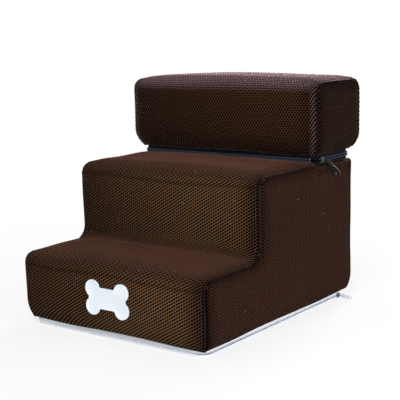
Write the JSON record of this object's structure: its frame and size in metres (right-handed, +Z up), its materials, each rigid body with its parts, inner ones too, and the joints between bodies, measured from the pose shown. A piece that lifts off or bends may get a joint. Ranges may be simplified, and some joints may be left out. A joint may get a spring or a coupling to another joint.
{
  "type": "pet stairs",
  "caption": "Foam stairs for a pet: a stepped lower block and an upper block that a zip joins to it, both in padded mesh covers.",
  "frame": {"origin": "on the floor, under the middle of the lower block's foam", "axes": "+Z up; -Y is the front, where the first riser faces; +X is on the right of someone who faces the stairs"},
  "size_m": [0.3861, 0.4272, 0.3622],
  "materials": {
    "foam": "matte",
    "brown_mesh": "padded mesh with small staggered holes",
    "base_cloth": "plain weave",
    "white_tape": "woven",
    "black_tape": "woven",
    "white_nylon": "satin",
    "grey_nylon": "satin",
    "zip_metal": "satin enamel",
    "black_enamel": "satin enamel",
    "white_enamel": "satin enamel",
    "badge": "soft moulded"
  },
  "bodies": {
    "lower_block": {"lower_foam_core": "foam", "step_panel": "brown_mesh", "left_side_panel": "brown_mesh", "right_side_panel": "brown_mesh", "lower_back_panel": "brown_mesh", "deck_panel": "brown_mesh", "base_panel": "base_cloth", "bone_badge": "badge", "base_zip_floor_tape": "white_tape", "base_zip_cover_tape": "white_tape", "base_zip_floor_coil": "white_nylon", "base_zip_cover_coil": "white_nylon", "base_zip_stops": "zip_metal", "join_zip_lower_tape": "black_tape", "join_zip_lower_coil": "grey_nylon", "join_zip_lower_stop": "zip_metal"},
    "upper_block": {"upper_foam_core": "foam", "upper_wrap_panel": "brown_mesh", "upper_left_panel": "brown_mesh", "upper_right_panel": "brown_mesh", "upper_bottom_panel": "brown_mesh", "join_zip_upper_tape": "black_tape", "join_zip_upper_coil": "grey_nylon", "join_zip_upper_stop": "zip_metal"},
    "join_slider": {"join_zip_slider": "zip_metal"},
    "join_pull": {"join_zip_pull": "black_enamel"},
    "base_slider": {"base_zip_slider": "zip_metal"},
    "base_pull": {"base_zip_pull": "white_enamel"}
  },
  "joints": [
    {"name": "upper_block_lift", "type": "slide", "parent": "lower_block", "child": "upper_block", "axis": [0, 0, 1], "range_m": [0, 0.15]},
    {"name": "join_zip_slide", "type": "slide", "parent": "lower_block", "child": "join_slider", "axis": [0, 1, 0], "range_m": [0, 0.07]},
    {"name": "join_pull_swing", "type": "hinge", "parent": "join_slider", "child": "join_pull", "pos_m": [0.175, 0.11, 0.2365], "axis": [0, -1, 0], "range_deg": [-26, 95]},
    {"name": "base_zip_slide", "type": "slide", "parent": "lower_block", "child": "base_slider", "axis": [0, -1, 0], "range_m": [0, 0.344]},
    {"name": "base_pull_swing", "type": "hinge", "parent": "base_slider", "child": "base_pull", "pos_m": [0.1672, 0.1721, 0.0057], "axis": [0, -1, 0], "range_deg": [0, 55]}
  ]
}
